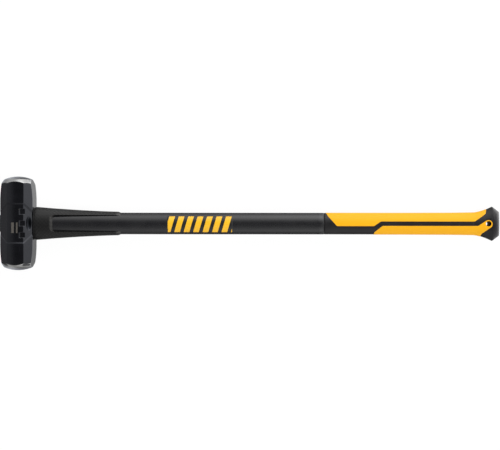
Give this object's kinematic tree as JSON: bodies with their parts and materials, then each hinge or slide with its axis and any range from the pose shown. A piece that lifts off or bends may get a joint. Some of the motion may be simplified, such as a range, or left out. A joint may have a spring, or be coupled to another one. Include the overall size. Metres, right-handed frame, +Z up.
{
  "type": "sledgehammer",
  "caption": "Long-handled sledgehammer: octagonal forged head with crowned faces, composite collar, oval handle, textured grip panels and a flared butt with a tether hole.",
  "frame": {"origin": "on the surface that the hammer lies on, under the middle of its length and width", "axes": "+X from the head along the handle to the butt, +Y along the striking axis, +Z up out of the cheek"},
  "size_m": [0.9144, 0.1712, 0.06],
  "materials": {
    "forged_steel": "black oxide, bevels and faces polished",
    "plug_plastic": "satin moulded plastic",
    "dam_rubber": "soft matte rubber",
    "resin": "black filled epoxy",
    "glass_fibre": "pultruded glass fibre",
    "jacket_plastic": "satin black",
    "fibre_composite": "moulded, diagonal weave",
    "grip_rubber": "fine matte texture",
    "panel_rubber": "yellow, fine grip texture",
    "sleeve_plastic": "hard black nylon",
    "label_film": "printed film, plain slanted bars"
  },
  "bodies": {
    "root": {"head": "forged_steel", "crown_plug": "plug_plastic", "eye_dam": "dam_rubber", "eye_epoxy": "resin", "core_rod": "glass_fibre", "shaft_jacket": "jacket_plastic", "overstrike_collar": "fibre_composite", "grip_sleeve": "grip_rubber", "grip_upper_panel": "panel_rubber", "grip_lower_panel": "panel_rubber", "butt_cap": "grip_rubber", "tether_sleeve": "sleeve_plastic", "label_front": "label_film", "label_back": "label_film"}
  },
  "joints": []
}
